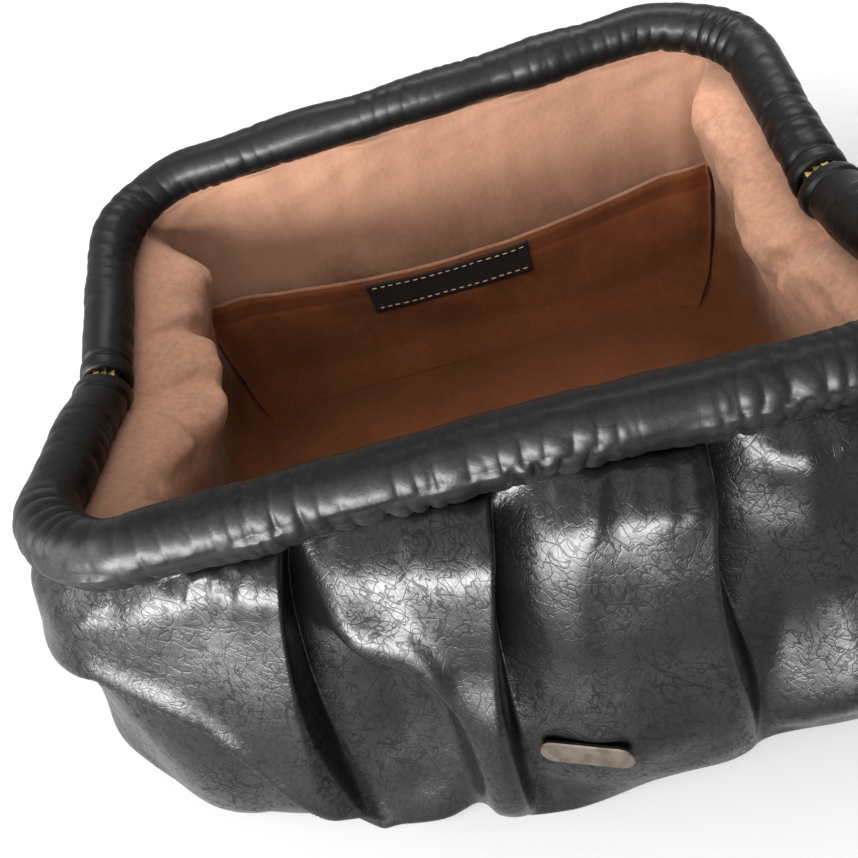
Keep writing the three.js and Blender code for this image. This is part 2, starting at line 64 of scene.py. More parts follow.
# Sections of a panel from seam to hem: swell under bar, corner and arm, and share of the drop
PANEL_BAR = [0, 13.5, 26, 36, 43, 44.5, 40, 26]
PANEL_CORNER = [0, 14, 21, 25, 24, 23, 24, 8]
PANEL_ARM = [0, 13, 21, 26.5, 27, 25, 20, 9]
PANEL_DROP = [0, 0.1, 0.29, 0.52, 0.75, 0.92, 1, 1]
SWELL_FALL = {"left": 0.2, "right": 0.1}
FLOOR_ROW = 6 / 7
LEAN = {"shift": -17.0, "from": 10.0, "to": 60.0}

# Sections of the lining from rim to floor: shrink across and along, share of the inward roll and of the drop
LINING_ACROSS = [0, 0.005, 0.01, 0.01, 0.005, 0.015, 0.05, 0.13]
LINING_ALONG = [0, 0.01, 0.015, 0.02, 0.04, 0.09, 0.19, 0.36]
LINING_ROLL = [0, 0.55, 1, 0.8, 0.4, 0.16, 0.04, 0]
LINING_DROP = [0, 0.03, 0.12, 0.28, 0.5, 0.75, 0.94, 1]
ROLL_SIZE = {"left": 31.0, "right": 19.0, "reach": 60.0}
LINING_FLOOR = 3.6

# The pocket by shares of the lining's loop and drop, and the label by distance and by shares of the pocket
POCKET = {
    "from": 5 / 24, "to": 19 / 24, "top": 0.56, "sag": 0.06, "bottom": 1.0,
    "mouth": 9.5, "gap": 1.2, "sunk": 2.0, "height": 46.0,
}
LABEL = {"half": 38.0, "shift": -3.0, "top": 0.03, "bottom": 0.27, "lift": 0.7, "thick": 0.8}

# Seeds of the soft noise of each piece
FRONT_PANEL_SEED, BACK_PANEL_SEED, BASE_SEED = 11, 23, 5
FRONT_SLEEVE_SEED, BACK_SLEEVE_SEED = 31, 47
LINING_SEED, LINING_FLOOR_SEED, POCKET_SEED = 61, 71, 83


# Working functions

def bell(distance, width):
    """Bell curve, 1 at zero distance."""
    return np.exp(-((distance / width) ** 2))


def smooth(t, low, high):
    """Smooth step from 0 at low to 1 at high."""
    s = np.clip((t - low) / (high - low), 0, 1)
    return s * s * (3 - 2 * s)


def fade(t, low, high):
    """Smooth step from 1 at low to 0 at high."""
    return 1 - smooth(t, low, high)


def span(t, rise, fall):
    """Smooth window: from 0 to 1 between the two places of rise, back to 0 between those of fall."""
    return smooth(t, *rise) * fade(t, *fall)


def spline(rows, t):
    """Smooth curve through evenly spaced rows: cubic pieces, sloped at each row as its neighbours' chord."""
    rows = np.asarray(rows, float)
    last = len(rows) - 1
    place = np.clip(t, 0, 1) * last
    k = np.minimum(np.floor(place).astype(int), last - 1)
    w = place - k
    before, here = rows[np.maximum(k - 1, 0)], rows[k]
    after, beyond = rows[k + 1], rows[np.minimum(k + 2, last)]
    leave, arrive = (after - before) / 2, (beyond - here) / 2
    cubic = 2 * here - 2 * after + leave + arrive
    square = 3 * after - 3 * here - 2 * leave - arrive
    return ((cubic * w + square) * w + leave) * w + here


def waves(x, y, shortest, longest, count, seed):
    """Soft noise of about unit size: a sum of sine waves with seeded directions, lengths and phases."""
    draw = np.random.default_rng(seed)
    lengths = draw.uniform(shortest, longest, count)
    turns = draw.uniform(0, np.pi, count)
    phases = draw.uniform(0, 2 * np.pi, count)
    total = np.zeros(np.broadcast(x, y).shape)
    for length, turn, phase in zip(lengths, turns, phases):
        total += np.sin(2 * np.pi * (x * np.cos(turn) + y * np.sin(turn)) / length + phase)
    return total * np.sqrt(2 / count)


def rail(u):
    """Middle line of a frame half at shares u of its length: x, reach, and the outward direction there."""
    along = np.asarray(u) * LOOP
    left = along < LOOP / 2
    half = np.where(left, along, LOOP - along)
    turn = np.clip((half - ARM) / CORNER_RADIUS, 0, np.pi / 2)
    x = -HALF_WIDTH + CORNER_RADIUS * (1 - np.cos(turn)) + np.clip(half - ARM - CORNER, 0, None)
    reach = np.minimum(half, ARM) + CORNER_RADIUS * np.sin(turn)
    sign = np.where(left, 1.0, -1.0)
    return sign * x, reach, -sign * np.cos(turn), np.sin(turn)


def from_middle(u):
    """Distance along the loop of a half from the middle of its bar."""
    return (u - 0.5) * LOOP


def middle_bow(half, s):
    """How far the bar's sleeve stands above the straight line in the middle of a half."""
    return half["bow"] * bell(s, BOW_WIDTH)


def seam_line(half, seam, reach):
    """Outward offset and height of a seam under a half's sleeve at a reach from the hinge axis."""
    below = seam["radius"] * np.sin(seam["below"])
    return seam["radius"] * np.cos(seam["below"]), HINGE_HEIGHT + reach * np.sin(half["tilt"]) - below


def unit(vectors):
    """Vectors scaled to length 1."""
    return vectors / np.maximum(np.linalg.norm(vectors, axis=-1, keepdims=True), 1e-9)


def grid_normals(points):
    """Unit normals of a grid of points: the cross product of its two difference directions."""
    return unit(np.cross(np.gradient(points, axis=1), np.gradient(points, axis=0)))


def closed_loop(grid, axis=1):
    """A grid with its first column, or the first entry along another axis, repeated at the end."""
    return np.concatenate([grid, np.take(grid, [0], axis=axis)], axis=axis)


def grid_quads(number):
    """Four-sided faces between the vertex numbers of a grid, or of each grid in a stack."""
    corners = number[..., :-1, :-1], number[..., :-1, 1:], number[..., 1:, 1:], number[..., 1:, :-1]
    return np.stack(corners, -1).reshape(-1, 4)


def grid_piece(name, points, around=False, flip=False, uv=None):
    """Mesh object from a grid of points in millimetres, closed along its rows where around is set."""
    number = np.arange(points[..., 0].size).reshape(points.shape[:2])
    quads = grid_quads(closed_loop(number) if around else number)
    return mesh_piece(name, points.reshape(-1, 3), quads[:, ::-1] if flip else quads, uv)


def mesh_piece(name, vertices, quads, uv=None):
    """Mesh object of four-sided faces with smooth shading, and a UV map from one pair per vertex."""
    mesh = bpy.data.meshes.new(name)
    mesh.vertices.add(len(vertices))
    mesh.vertices.foreach_set("co", (np.asarray(vertices) * MM).ravel())
    mesh.loops.add(quads.size)
    mesh.loops.foreach_set("vertex_index", quads.ravel().astype(np.int32))
    mesh.polygons.add(len(quads))
    mesh.polygons.foreach_set("loop_start", np.arange(0, quads.size, 4, dtype=np.int32))
    mesh.polygons.foreach_set("use_smooth", np.ones(len(quads), dtype=bool))
    if uv is not None:
        layer = mesh.uv_layers.new(name="UVMap")
        layer.data.foreach_set("uv", uv.reshape(-1, 2)[quads.ravel()].ravel())
    mesh.update()
    mesh.validate()
    piece = bpy.data.objects.new(name, mesh)
    bpy.context.scene.collection.objects.link(piece)
    return piece


def thicken(piece, thickness, offset):
    """Give a sheet its thickness in millimetres: offset -1 grows it against its normals, 1 along them."""
    wall = piece.modifiers.new("wall", "SOLIDIFY")
    wall.thickness = thickness * MM
    wall.offset = offset
    wall.use_even_offset = False
    return piece


def finish_piece(piece, material, slot, *nodes):
    """Dress a new piece: its material, its body and the CAD nodes that it stands for. The slot is not used.
    """
    piece.data.materials.append(material)
    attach(piece, "root")
    if nodes:
        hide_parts(*nodes)


# Shader expressions

class Value:
    """A socket in a material: arithmetic on it adds the Math nodes that work it out."""

    def __init__(self, finish, socket):
        self.finish, self.socket = finish, socket

    def math(self, operation, *others):
        return self.finish.node("ShaderNodeMath", {"operation": operation}, self, *others)[0]

    def __add__(self, other):
        return self.math("ADD", other)

    def __sub__(self, other):
        return self.math("SUBTRACT", other)

    def __rsub__(self, other):
        return self.math("MULTIPLY", -1.0) + other

    def __mul__(self, other):
        return self.math("MULTIPLY", other)

    __radd__, __rmul__ = __add__, __mul__

    def step(self, low, high):
        """Smooth step of this value from 0 at low to 1 at high."""
        settings = {"interpolation_type": "SMOOTHSTEP", "clamp": True}
        return self.finish.node("ShaderNodeMapRange", settings, self, low, high, 0.0, 1.0)[0]


class Finish:
    """A material with one Principled surface, and the nodes that feed it."""

    def __init__(self, name, **constants):
        self.material = bpy.data.materials.new(name)
        self.material.use_nodes = True
        self.tree = self.material.node_tree
        self.surface = self.tree.nodes["Principled BSDF"]
        self.fill(self.surface, constants)

    def feed(self, socket, value):
        if isinstance(value, Value):
            self.tree.links.new(value.socket, socket)
        else:
            socket.default_value = value

    def fill(self, shader, values):
        """Feed a shader's inputs by name, with underscores for spaces."""
        for name, value in values.items():
            self.feed(shader.inputs[name.replace("_", " ")], value)

    def node(self, kind, settings, *inputs, **named):
        """Add a node, set it up, feed its sockets in order or by name, and give back its outputs."""
        made = self.tree.nodes.new(kind)
        for key, value in settings.items():
            setattr(made, key, value)
        for socket, value in zip(made.inputs, inputs):
            self.feed(socket, value)
        self.fill(made, named)
        return [Value(self, socket) for socket in made.outputs if socket.enabled]

    def vector(self, operation, *inputs, **named):
        return self.node("ShaderNodeVectorMath", {"operation": operation}, *inputs, **named)[0]

    def place(self):
        """Object coordinates."""
        return self.node("ShaderNodeTexCoord", {})[3]

    def uv(self):
        """The piece's own UV map as two numbers, metres across and along."""
        across, along, _ = self.node("ShaderNodeSeparateXYZ", {}, self.node("ShaderNodeTexCoord", {})[2])
        return across, along

    def noise(self, place, scale, detail=3.0, roughness=0.55):
        """Soft noise: its value and its colour."""
        inputs = {"Vector": place, "Scale": scale, "Detail": detail, "Roughness": roughness}
        return self.node("ShaderNodeTexNoise", {}, **inputs)

    def cracks(self, place, scale):
        """Distance to the nearest edge between cells, 0 on the edges."""
        settings = {"feature": "DISTANCE_TO_EDGE"}
        return self.node("ShaderNodeTexVoronoi", settings, Vector=place, Scale=scale)[0]

    def creases(self, place, scale, slant):
        """Long lines that run near a slant from upright, 1 on each: where drawn-out noise passes
        its middle value."""
        turned = {"Rotation": (0.0, np.radians(slant), 0.0), "Scale": CREASE_STRETCH}
        drawn = self.node("ShaderNodeMapping", {"vector_type": "TEXTURE"}, Vector=place, **turned)[0]
        return 1 - (self.noise(drawn, scale, 1.0)[0] - 0.5).math("ABSOLUTE").step(*CREASE_WIDTH)

    def stirred(self, place, scale, size):
        """Coordinates pushed about by noise of a scale, by up to about a size in metres."""
        push = self.vector("SUBTRACT", self.noise(place, scale, 2.0)[1], (0.5, 0.5, 0.5))
        return self.vector("ADD", place, self.vector("SCALE", Vector=push, Scale=size))

    def stretched(self, place, factors):
        """Coordinates scaled along each axis."""
        return self.vector("MULTIPLY", place, factors)

    def mix(self, share, first, second):
        """Blend of two colours by a share."""
        made = self.tree.nodes.new("ShaderNodeMix")
        made.data_type = "RGBA"
        for socket, value in zip((made.inputs[0], made.inputs[6], made.inputs[7]), (share, first, second)):
            self.feed(socket, (*value, 1.0) if isinstance(value, tuple) else value)
        return Value(self, made.outputs[2])

    def bump(self, height, strength, distance, under=None):
        """Normal of a height, on top of the normal under it."""
        inputs = {"Strength": strength, "Distance": distance, "Height": height}
        if under is not None:
            inputs["Normal"] = under
        return self.node("ShaderNodeBump", {}, **inputs)[0]

    def dulled(self, share, **constants):
        """Blend the surface by a share towards a second, dull one."""
        dull = self.tree.nodes.new("ShaderNodeBsdfPrincipled")
        self.fill(dull, constants)
        blend = self.tree.nodes.new("ShaderNodeMixShader")
        self.feed(blend.inputs[0], share)
        self.tree.links.new(self.surface.outputs[0], blend.inputs[1])
        self.tree.links.new(dull.outputs[0], blend.inputs[2])
        self.tree.links.new(blend.outputs[0], self.tree.nodes["Material Output"].inputs[0])

    def surface_inputs(self, **values):
        self.fill(self.surface, values)
        return self.material


def shade(colour, factor):
    """A colour made darker or lighter by a factor."""
    return tuple(factor * c for c in colour)


# Leather: how far the crease noise is drawn out, half width of a crease in noise values, and each set of
# creases by scale and slant in degrees
CREASE_STRETCH = (1.0, 1.5, 3.4)
CREASE_WIDTH = (0.004, 0.026)
CREASE_SETS = [(270.0, -12), (300.0, 38), (240.0, -58)]
# Colours of the leather, and of the painted shade in its hairline creases
LEATHER_BLACK, CREASE_SHADE_BLACK = (0.0016, 0.0016, 0.0018), (0.0007, 0.0007, 0.0008)
DULL_LEATHER = {"Base_Color": (0.001, 0.001, 0.0011, 1.0), "Roughness": 0.8, "Specular_IOR_Level": 0.04}


def black_leather(name, crackle, shine):
    """Glossy black leather: dull hairline creases in three slants over a faint net, soft crumpling, pores and
    patches of more and less gloss, with painted shade darkening the hairline creases."""
    f = Finish(name, Specular_IOR_Level=0.2 - 0.03 * shine, Coat_Roughness=0.2, Coat_IOR=1.4)
    place = f.place()
    bent = f.stirred(place, 70.0, 0.0035)
    patches = f.noise(place, 34.0, 2.0)[0].step(0.38, 0.62)
    hair, *others = [f.creases(bent, scale, slant) for scale, slant in CREASE_SETS]
    for other in others:
        hair = hair.math("MAXIMUM", other)
    net = 1 - f.cracks(f.stretched(bent, (1.0, 0.8, 0.55)), 620.0).step(0.02, 0.14)
    pores = f.noise(place, 2400.0, 2.0)[0]
    crumple = f.noise(f.stirred(place, 60.0, 0.01), 120.0, 3.0, 0.55)[0]
    normal = f.bump(crumple, 0.12 * crackle, 0.0022)
    normal = f.bump(0 - hair - 0.4 * net * patches, 0.16 * crackle, 0.0002, normal)
    normal = f.bump(pores, 0.1, 0.00008, normal)
    lines = hair.math("MAXIMUM", 0.35 * net) * (0.45 + 0.55 * patches)
    f.dulled(0.66 * crackle * lines, **DULL_LEATHER)
    return f.surface_inputs(
        Base_Color=f.mix(hair * 0.5, LEATHER_BLACK, CREASE_SHADE_BLACK),
        Roughness=0.45 - 0.17 * shine + 0.05 * patches,
        Coat_Weight=0.03 + 0.1 * shine * patches,
        Normal=normal,
    )


# Suede: the heights in metres over which painted shade deepens the colour towards the floor, over which the
# back wall passes from painted light to painted shade and over which painted shade darkens the rim, and the
# places from front to back where the back wall begins
DEPTH_SHADE_HEIGHTS, WALL_SHADE_HEIGHTS, RIM_SHADE_HEIGHTS = (0.02, 0.085), (0.062, 0.108), (0.088, 0.128)
BACK_WALL = (0.055, 0.088)
SUEDE_SHEEN = {"Sheen_Weight": 0.12, "Sheen_Roughness": 0.45, "Sheen_Tint": (0.95, 0.75, 0.6, 1.0)}


def brown_suede(name, upper, lower):
    """Brushed suede: a mottled nap with stroked pile and a fine fuzz. Painted shade deepens it towards the
    floor, the back wall has painted light below painted shade in faint upright streaks, and painted shade
    darkens the rim."""
    f = Finish(name, Specular_IOR_Level=0.12, **SUEDE_SHEEN)
    place = f.place()
    _, along, height = f.node("ShaderNodeSeparateXYZ", {}, place)
    mottle = f.noise(f.stirred(place, 40.0, 0.02), 40.0, 5.0, 0.62)[0].step(0.28, 0.72)
    strokes = f.noise(place, 420.0, 4.0, 0.7)[0].step(0.3, 0.72)
    fuzz = f.noise(place, 3200.0, 3.0, 0.7)[0]
    streaks = f.noise(f.stretched(place, (1.0, 1.0, 0.2)), 75.0, 3.0)[0].step(0.3, 0.7)
    normal = f.bump(mottle, 0.1, 0.0015)
    normal = f.bump(strokes, 0.4, 0.0003, normal)
    normal = f.bump(fuzz, 0.5, 0.00012, normal)
    nap = 0.5 * mottle + 0.5 * strokes
    upper_nap = f.mix(nap, shade(upper, 0.66), shade(upper, 1.2))
    deep_shade_nap = f.mix(nap, shade(lower, 0.75), shade(lower, 1.2))
    uneven = height + 0.01 * mottle
    # Painted light and shade on the back wall: brighter low down, darker higher up, with faint upright
    # streaks
    wall_shade = 0.2 * streaks + 0.86 * uneven.step(*WALL_SHADE_HEIGHTS)
    wall_light_and_shade = f.mix(wall_shade, shade(upper, 1.22), shade(upper, 0.46))
    back_wall_light_and_shade = f.mix(along.step(*BACK_WALL), upper_nap, wall_light_and_shade)
    # Painted shade that darkens the suede under the rim
    rim_shaded = f.mix(0.72 * uneven.step(*RIM_SHADE_HEIGHTS), f.mix(0.7, upper_nap, back_wall_light_and_shade), shade(upper, 0.35))
    # Painted shade: the colour deepens towards the floor, deep in the bag
    depth = 1 - (height + 0.012 * mottle).step(*DEPTH_SHADE_HEIGHTS)
    colour = f.mix(depth, rim_shaded, deep_shade_nap)
    return f.surface_inputs(Base_Color=colour, Roughness=0.86 + 0.12 * fuzz, Normal=normal)


def worn_metal(name, dull, bright, rough):
    """Satin metal: brushed roughness, faint cloudy tarnish and fine scratches."""
    f = Finish(name, Metallic=1.0)
    place = f.place()
    cloud = f.noise(place, 260.0, 4.0)[0].step(0.3, 0.7)
    scratch = f.noise(f.stirred(place, 900.0, 0.0004), 3500.0, 2.0)[0]
    normal = f.bump(scratch, 0.15, 0.00005)
    colour = f.mix(cloud, dull, bright)
    return f.surface_inputs(Base_Color=colour, Roughness=rough + 0.12 * scratch, Normal=normal)


def label_cloth(name, ribs_per_metre):
    """Black woven label: fine ribs along and across, and a soft change of shade."""
    f = Finish(name, Specular_IOR_Level=0.3)
    across, along = f.uv()
    ribs, cross = (along * ribs_per_metre).math("SINE"), (across * ribs_per_metre).math("SINE")
    cloud = f.noise(f.place(), 300.0, 3.0)[0]
    weave = ribs * cross * 0.5 + 0.5
    normal = f.bump(weave, 0.4, 0.0001)
    colour = f.mix(cloud * 0.6 + weave * 0.25, (0.006, 0.0055, 0.0055), (0.02, 0.018, 0.017))
    return f.surface_inputs(Base_Color=colour, Roughness=0.62 + 0.2 * cloud, Normal=normal)


def tan_thread(name):
    """Twisted tan thread: light and dark plies along the stitch."""
    f = Finish(name, Specular_IOR_Level=0.3)
    twist = f.noise(f.place(), 1800.0, 2.0)[0].step(0.3, 0.7)
    normal = f.bump(twist, 0.4, 0.0002)
    colour = f.mix(twist, (0.36, 0.22, 0.12), (0.62, 0.43, 0.27))
    return f.surface_inputs(Base_Color=colour, Roughness=0.7 + 0.2 * twist, Normal=normal)


PANEL_LEATHER = black_leather("panel_leather", 1.0, 1.0)
SLEEVE_LEATHER = black_leather("sleeve_leather", 0.45, 0.2)
# The second colour of each suede is the painted shade near the floor of the bag
LINING_SUEDE = brown_suede("lining_suede", (0.355, 0.188, 0.121), (0.09, 0.028, 0.0092))
POCKET_SUEDE = brown_suede("pocket_suede", (0.25, 0.077, 0.027), (0.095, 0.029, 0.0092))
BRASS = worn_metal("pale_brass", (0.72, 0.5, 0.2), (0.9, 0.72, 0.4), 0.2)
BRONZE = worn_metal("light_bronze", (0.05, 0.041, 0.032), (0.085, 0.07, 0.055), 0.38)
LABEL_BLACK = label_cloth("label_black", 9000.0)
THREAD = tan_thread("tan_thread")


# Leather panels

# A pleat's size at even rows, its sharp edge that rounds off over some rows, the overhang of its roll,
# and the puckers and the sewn tab left of its top, with the rows over which they rise and fall
PLEAT_SIZE = [0.3, 0.9, 1.0, 0.9, 0.75, 0.55, 0.3, 0.0]
PLEAT_EDGE = {"before": 2.2, "after": 2.6, "round_off": 3.5, "rows": (0.2, 0.85), "recover": 0.3}
OVERHANG = {"before": 1.5, "width": 4.5}
PUCKERS = [(5.0, 1.6), (10.5, 2.2), (18.0, 2.0), (27.0, 2.8)]
PUCKER = {"height": 1.2, "rise": (0, 0.03), "fall": (0.05, 0.17)}
TAB = {"height": 2.2, "slope": 3, "rise": (0, 0.02), "fall": (0.06, 0.22)}

# Each pleat: its fold line at even rows, its roll and how gently that climbs, its valley and how far that
# recovers, the overhang, the row where it runs out, and the length of its tab
FRONT_PLEATS = [
    dict(line=[-55.5, -62, -62.5, -57, -47], roll=5, climb=22, valley=14, recover=22,
         overhang=4, reach=1.0, tab=25),
    dict(line=[1.5, -5, -7, -4, 4], roll=6, climb=14, valley=14, recover=25,
         overhang=4.5, reach=0.9, tab=20),
    dict(line=[57, 51, 55, 57, 57], roll=6, climb=22, valley=15, recover=30,
         overhang=4.5, reach=0.9, tab=28),
]
BACK_PLEATS = [dict(pleat, climb=18, valley=12) for pleat in FRONT_PLEATS]

# Lines of the folds: places along the loop and the rows there, but for the tongue rows and the places there
SWAG_LINE = [-52, -48, -37, -25, -19], [0.2, 0.21, 0.26, 0.3, 0.35]
TONGUE_LINE = [0.3, 0.34, 0.39, 0.47, 0.58, 0.72], [-21, -20, -18, -16, -15, -14]
CREASE_LINE = (
    [-175, -150, -112, -106, -98, -93, -85, -74, -64, -55],
    [0.35, 0.29, 0.25, 0.275, 0.31, 0.35, 0.42, 0.53, 0.63, 0.74],
)
LOW_ROLL_LINE = [52, 62, 71, 86, 120, 165], [0.61, 0.59, 0.54, 0.48, 0.4, 0.34]
CORNER_LINE = [50, 74, 91, 113, 150], [0.72, 0.55, 0.42, 0.3, 0.3]

# Soft swells of the front panel, the first of them broad and two under the ends of the ornament:
# height, place and width along the loop, row and width in rows
CHEST = [(2.15, 18, 26.0, 0.55, 0.14), (1.3, 3.5, 8.0, 0.52, 0.08), (1.3, 30.5, 8.0, 0.52, 0.08)]
# Two lobes on the floor and the notch between them: height, place and width along the loop
LOBES = [(5.0, -47, 14.0), (7.5, 9, 19.0), (-5.0, -16, 8.0)]
# The flattened stretch left of the first pleat: height at even rows, place and width along the loop
LEFT_FLAT = {"rows": [0, -3.5, -2.5, -0.5, 1, 1, 0, 0], "place": -84, "width": 30.0}
# The heel at the left end: height, place and width along the loop, and the rows over which it rises
HEEL = {"height": 14.0, "place": -138, "width": 17.0, "rows": (0.42, 0.74)}

# The side walls tuck in under the hinges
TUCK = {"depth": 20, "row": 0.2, "rows": 0.22, "rise": (0.0, 0.2), "width": 26.0}
# Wrinkles of a panel: size, shortest and longest wave and their count, with a panel this high
WRINKLES = [(0.5, 30, 80, 10), (0.1, 9, 20, 14)]
PANEL_HEIGHT = 130
# Rows over which the wrinkles lie down, least inset of the hem, and least distance from the hinge axis
LYING_ROWS = (0.68, 0.85)
HEM_INSET, MEETING_GAP = 6, 0.2


def pleat_fold(pleat, s, v):
    """Knife pleat: a roll that climbs to the fold line, drops sharply there into a flat valley and recovers
    behind it. The edge rounds off on the way down, and small puckers and a tab stand left of the sewn top.
    Gives the outward height and the sideways overhang of the roll's edge."""
    q = s - spline(pleat["line"], v)
    size = spline(PLEAT_SIZE, np.minimum(v / pleat["reach"], 1))
    round_off = 1 + PLEAT_EDGE["round_off"] * smooth(v, *PLEAT_EDGE["rows"])
    drop = smooth(q, -PLEAT_EDGE["before"] * round_off, PLEAT_EDGE["after"] * round_off)
    roll = pleat["roll"] * np.exp(np.minimum(q, 0) / pleat["climb"]) * (1 - drop)
    valley = pleat["valley"] * fade(q, 1, pleat["recover"] * (1 + PLEAT_EDGE["recover"] * v)) * drop
    pucker = sum(bell(q + back, width) for back, width in PUCKERS) * span(v, PUCKER["rise"], PUCKER["fall"])
    tab = smooth(q, -pleat["tab"] - TAB["slope"], -pleat["tab"]) * (1 - drop)
    tab = tab * span(v, TAB["rise"], TAB["fall"])
    height = size * (roll - valley) + PUCKER["height"] * pucker + TAB["height"] * tab
    return height, size * pleat["overhang"] * bell(q + OVERHANG["before"], OVERHANG["width"])


def front_folds(s, v):
    """Folds of the front panel besides its pleats, as outward height.
    A sagging swag hangs between the first two pleats over a hollow and runs into a rounded tongue, a slanting
    crease cuts off the lower left corner above a heel, drag folds run right from the last pleat, a soft roll
    rises towards the lower right, and two lobes with a notch between them stand on the floor."""
    swag = np.interp(s, *SWAG_LINE)
    ridge = np.interp(v, *TONGUE_LINE)
    inside = smooth(s, -62, -34) * fade(s, ridge - 6.0, ridge + 1.5)
    hollow = -15.0 * smooth(v, swag - 0.01, swag + 0.07) * inside * fade(v, 0.45, 0.84)
    lip = 3.0 * bell(v - swag + 0.03, 0.05) * span(s, (-54, -40), (-22, -14))
    tongue = 5.0 * bell(s - ridge - 8.0, 8.0) * span(v, (0.3, 0.42), (0.62, 0.85))
    crease = np.interp(s, *CREASE_LINE)
    wedge = -7.5 * smooth(v, crease - 0.004, crease + 0.03) * span(-s, (50, 66), (115, 175))
    edge = 1.6 * bell(v - crease + 0.015, 0.03) * span(-s, (56, 80), (140, 185))
    right = np.interp(s, *LOW_ROLL_LINE)
    low_roll = 4.5 * bell(v - right - 0.09, 0.08) - 8.0 * bell(v - right + 0.1, 0.12)
    drag = 0.6 * bell(v - 0.07, 0.05) - 3.2 * bell(v - 0.21, 0.08)
    lobes = sum(height * bell(s - place, width) for height, place, width in LOBES)
    chest = sum(
        height * bell(s - place, width) * bell(v - row, rows) for height, place, width, row, rows in CHEST)
    flat = spline(LEFT_FLAT["rows"], v) * bell(s - LEFT_FLAT["place"], LEFT_FLAT["width"])
    heel = HEEL["height"] * bell(s - HEEL["place"], HEEL["width"]) * smooth(v, *HEEL["rows"])
    left = hollow + lip + tongue + wedge + edge + flat + heel
    past_pleats = low_roll * span(s, (58, 76), (125, 175)) + drag * span(s, (60, 78), (110, 155))
    return left + past_pleats + chest + lobes * smooth(v, 0.62, 0.84)


def corner_folds(s, v):
    """Folds of a plain panel besides its pleats: a slanting crease across each lower corner."""
    away = np.abs(s)
    crease = np.interp(away, *CORNER_LINE)
    under = smooth(v, crease - 0.02, crease + 0.08) * fade(v, 0.66, 0.86)
    return -6.0 * under * span(away, (54, 80), (150, 190))


def no_folds(s, v):
    """No folds besides the pleats."""
    return 0 * s


def seam_gathers(s, v, seed):
    """Fine gathers that run down from the sewn edge and die out."""
    folds = 1 - np.abs(waves(s, 6 * v, 9, 22, 8, seed))
    drags = waves(s + 30 * v, 4 * v, 18, 40, 6, seed + 1)
    return 0.8 * folds * bell(v, 0.09) * smooth(v, 0.0, 0.03) + 0.8 * drags * bell(v - 0.08, 0.1)


def panel_points(half, u, v, pleats, folds, seed):
    """Panel surface: each section of the loop swells outwards as it drops, blended from bar, corner and arm
    sections, and pleats, folds, gathers and soft wrinkles stand on it along the outward direction.
    The last rows lie on the floor and run inwards to a plain hem."""
    x, reach, out_x, out_y = rail(u)
    under = np.clip((v - FLOOR_ROW) / (1 - FLOOR_ROW), 0, 1)
    v = np.minimum(v, FLOOR_ROW)
    facing = out_y**2
    turning = 1 - facing
    s = from_middle(u)
    away = x / (HALF_WIDTH - CORNER_RADIUS)
    fall = 1 - np.where(away < 0, SWELL_FALL["left"], SWELL_FALL["right"]) * np.minimum(away**2, 1)
    weights = facing**2 * fall, 2 * facing * turning, turning**2
    sections = PANEL_BAR, PANEL_CORNER, PANEL_ARM
    swell = sum(weight * spline(rows, v) for weight, rows in zip(weights, sections))
    hem = sum(weight * rows[-1] for weight, rows in zip(weights, sections))
    height, shift = (sum(parts) for parts in zip(*(pleat_fold(pleat, s, v) for pleat in pleats)))
    tuck = TUCK["depth"] * bell(v - TUCK["row"], TUCK["rows"]) * smooth(v, *TUCK["rise"])
    tuck = tuck * bell(reach, TUCK["width"]) * turning
    wrinkle = sum(
        size * waves(s, PANEL_HEIGHT * v, shortest, longest, count, seed + step)
        for step, (size, shortest, longest, count) in enumerate(WRINKLES, 2))
    soft = (seam_gathers(s, v, seed) + wrinkle * smooth(v, 0.0, 0.1)) * fade(v, *LYING_ROWS)
    swell = swell + height + folds(s, v) - tuck + soft
    swell = swell + (np.minimum(hem, swell - HEM_INSET) - swell) * under
    start, top = seam_line(half, PANEL_SEAM, reach)
    top = top + middle_bow(half, s) * (1 - v) ** 2
    lean = LEAN["shift"] * v * fade(x, LEAN["from"], LEAN["to"])
    px = x + out_x * (start + swell) + facing * (lean + shift)
    py = np.maximum(reach + out_y * (start + swell), MEETING_GAP) * np.cos(half["tilt"]) * half["side"]
    pz = np.maximum(top * (1 - spline(PANEL_DROP, v)), 0) + 0 * px
    return np.stack([px, py, pz], -1)


def dense_shares(count, centres, crowd):
    """Shares from 0 to 1 that crowd round centres: even steps of a running sum of 1 plus bells there."""
    fine = np.linspace(0, 1, 4001)
    density = 1 + crowd * sum(bell(fine - c, 0.02) for c in centres)
    running = np.concatenate([[0], np.cumsum((density[1:] + density[:-1]) / 2)])
    return np.interp(np.linspace(0, running[-1], count), running, fine)


def leather_panel(name, half, pleats, folds, columns, rows, seed):
    """A pleated leather wall: the panel surface as a sheet with the leather's thickness inwards."""
    u = dense_shares(columns, [0.5 + p["line"][1] / LOOP for p in pleats], 2.0)
    v = np.linspace(0, 1, rows) ** 0.9
    points = panel_points(half, *np.meshgrid(u, v), pleats, folds, seed)
    piece = grid_piece(name, points, flip=half is FRONT)
    return thicken(piece, LEATHER, -1)


front = leather_panel("front_panel", FRONT, FRONT_PLEATS, front_folds, 300, 160, FRONT_PANEL_SEED)
finish_piece(front, PANEL_LEATHER, "black_leather", "panel_front")
back = leather_panel("back_panel", BACK, BACK_PLEATS, corner_folds, 250, 120, BACK_PANEL_SEED)
finish_piece(back, PANEL_LEATHER, "black_leather", "panel_back")


# Rim sleeves

# Kinds of gathers: pitch, wander of the pitch with its shortest and longest wave and their count, step of the
# seed, share of the slant, sharpness and middle level
CLOSE_GATHERS = dict(pitch=6.4, wander=0.22, waves=(18, 60, 8), seed=0, slant=1, sharp=0.6, level=0.72)
CROSS_GATHERS = dict(pitch=9.8, wander=0.25, waves=(25, 70, 8), seed=5, slant=-2, sharp=0.6, level=0.72)
WIDE_GATHERS = dict(pitch=15.0, wander=0.3, waves=(30, 70, 6), seed=4, slant=1, sharp=0.5, level=0.75)

